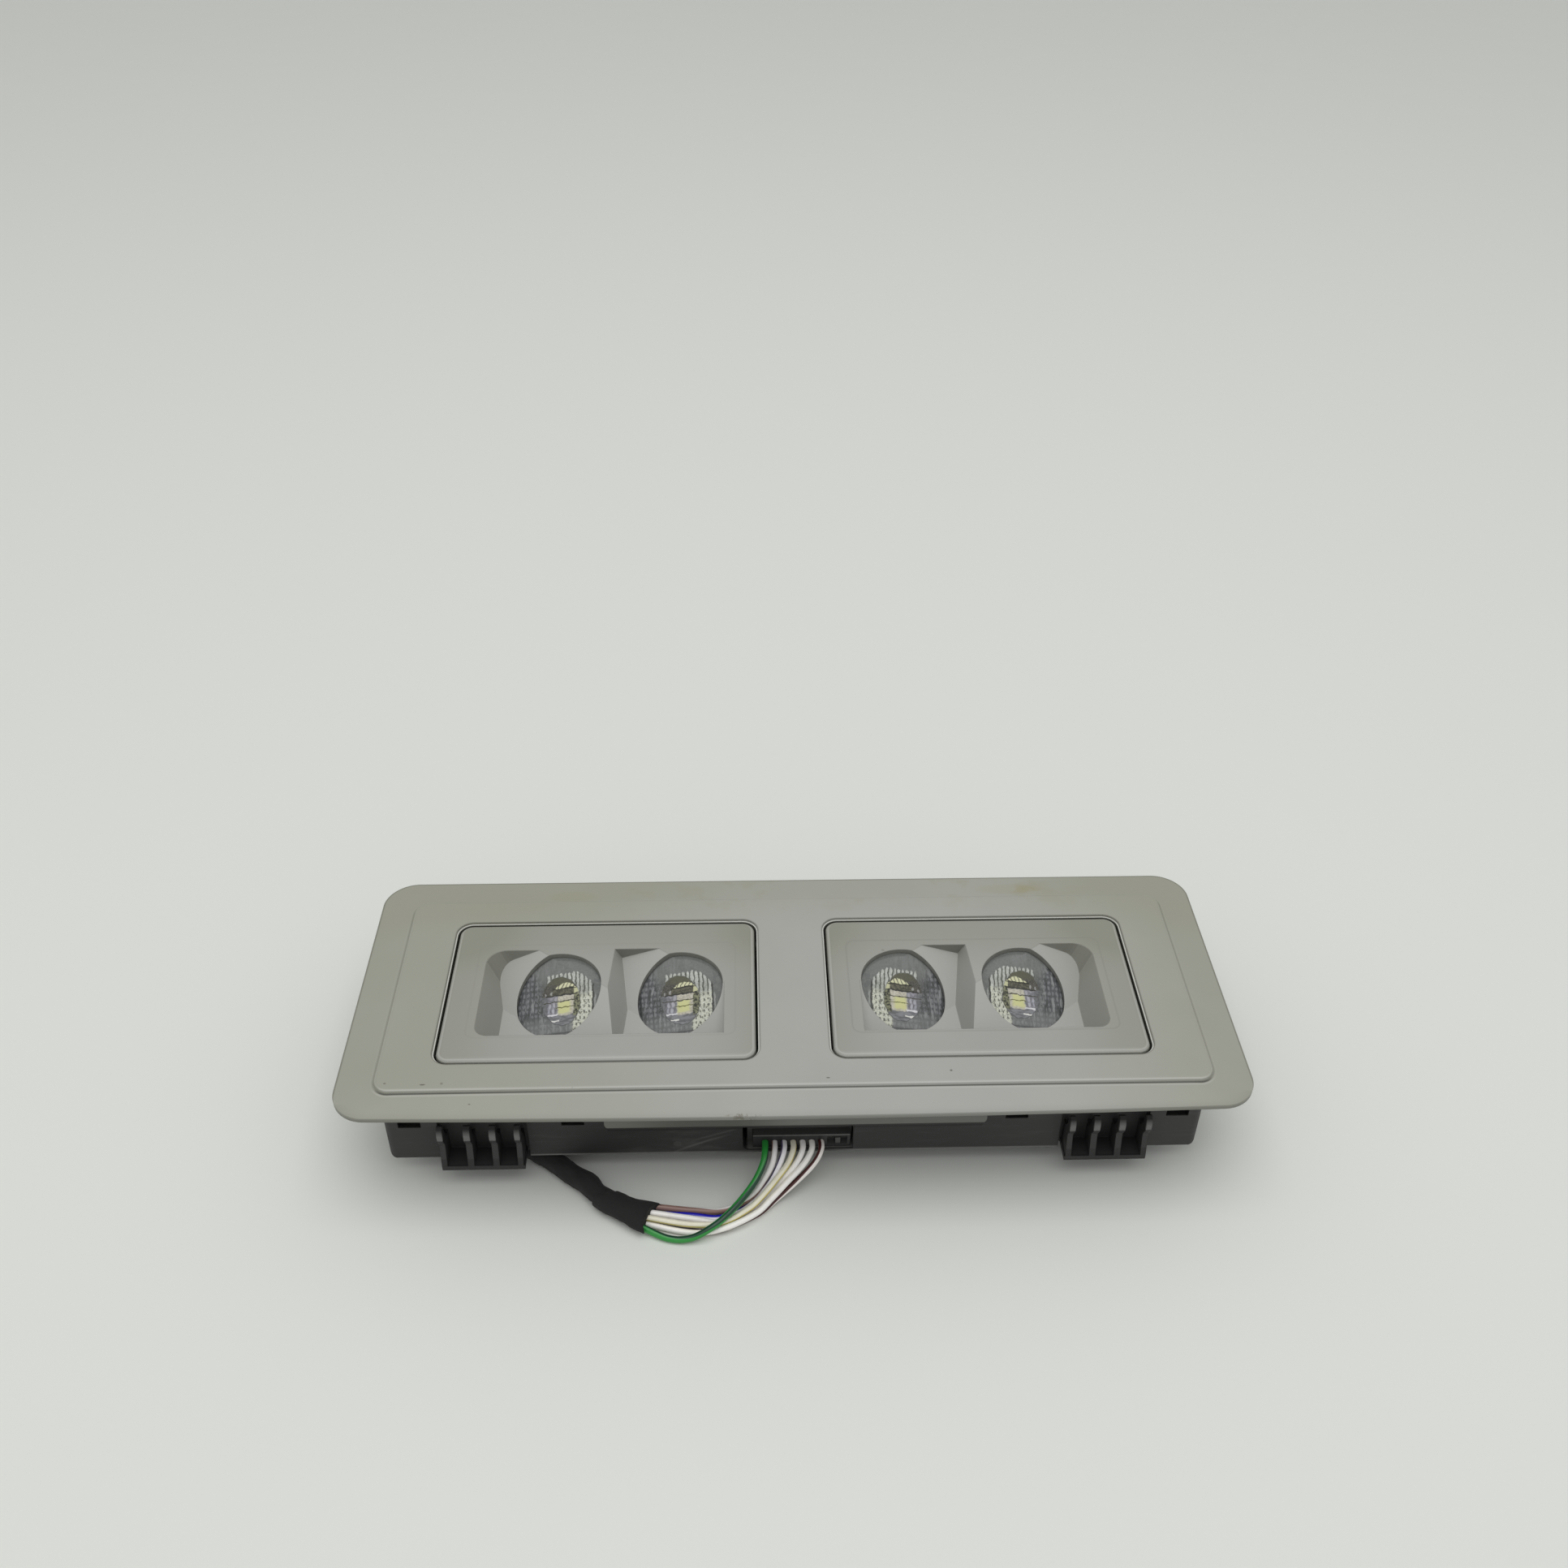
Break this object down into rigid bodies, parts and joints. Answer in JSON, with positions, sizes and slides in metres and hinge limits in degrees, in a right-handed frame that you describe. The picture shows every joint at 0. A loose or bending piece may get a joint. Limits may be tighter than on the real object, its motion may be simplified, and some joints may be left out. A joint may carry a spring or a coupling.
{
  "type": "car interior light",
  "caption": "Overhead map light for a car's headlining: flat bezel, pressable panels with lenses in tilted pockets, black housing with comb clips, plug and taped wires.",
  "frame": {"origin": "middle of the bezel's outline, on the surface that the back cover lies on", "axes": "+X across the light to the right, +Y to its rear edge, +Z out of the lit face"},
  "size_m": [0.24, 0.1059, 0.036],
  "materials": {
    "bezel_plastic": "fine grain",
    "panel_plastic": "fine grain",
    "lens_plastic": "clear with small pillows",
    "led_phosphor": "phosphor on a white case",
    "switch_plastic": "moulded",
    "plunger_plastic": "moulded",
    "board_laminate": "varnished",
    "black_plastic": "moulded",
    "capacitor_can": "satin",
    "pin_metal": "plated",
    "screw_steel": "plain",
    "wire_green": "smooth",
    "wire_taupe": "smooth",
    "wire_blue_white": "smooth",
    "wire_yellow_white": "smooth",
    "wire_white": "smooth",
    "wire_brown_white": "smooth",
    "cloth_tape": "woven"
  },
  "bodies": {
    "base": {"bezel": "bezel_plastic", "led_1": "led_phosphor", "led_2": "led_phosphor", "led_3": "led_phosphor", "led_4": "led_phosphor", "switch_body_left": "switch_plastic", "switch_body_right": "switch_plastic", "circuit_board": "board_laminate", "driver_chip": "black_plastic", "capacitor": "capacitor_can", "board_connector": "black_plastic", "contact_pins": "pin_metal", "housing": "black_plastic", "clip_front_left": "black_plastic", "clip_front_right": "black_plastic", "clip_rear_left": "black_plastic", "clip_rear_right": "black_plastic", "back_cover": "black_plastic", "board_screws": "screw_steel", "cover_screws": "screw_steel", "plug": "black_plastic", "plug_lock": "black_plastic", "wire_green": "wire_green", "wire_taupe": "wire_taupe", "wire_blue": "wire_blue_white", "wire_yellow": "wire_yellow_white", "wire_white_1": "wire_white", "wire_white_2": "wire_white", "wire_brown": "wire_brown_white", "harness_tape": "cloth_tape"},
    "panel_left": {"lens_panel_left": "panel_plastic", "lens_1": "lens_plastic", "lens_2": "lens_plastic"},
    "panel_right": {"lens_panel_right": "panel_plastic", "lens_3": "lens_plastic", "lens_4": "lens_plastic"},
    "plunger_left": {"switch_plunger_left": "plunger_plastic"},
    "plunger_right": {"switch_plunger_right": "plunger_plastic"}
  },
  "joints": [
    {"name": "panel_left_press", "type": "hinge", "parent": "base", "child": "panel_left", "pos_m": [-0.05265, 0.022, 0.029], "axis": [1, 0, 0], "range_deg": [0, 1.5], "stiffness_Nm_per_rad": 2, "springref_deg": -2.86},
    {"name": "panel_right_press", "type": "hinge", "parent": "base", "child": "panel_right", "pos_m": [0.05265, 0.022, 0.029], "axis": [1, 0, 0], "range_deg": [0, 1.5], "stiffness_Nm_per_rad": 2, "springref_deg": -2.86},
    {"name": "plunger_left_slide", "type": "slide", "parent": "base", "child": "plunger_left", "axis": [0, 0, -1], "range_m": [0, 0.0013]},
    {"name": "plunger_right_slide", "type": "slide", "parent": "base", "child": "plunger_right", "axis": [0, 0, -1], "range_m": [0, 0.0013]}
  ],
  "couplings": [
    {"joint": "plunger_left_slide", "follows": "panel_left_press", "m_per_rad": 0.0455},
    {"joint": "plunger_right_slide", "follows": "panel_right_press", "m_per_rad": 0.0455}
  ]
}
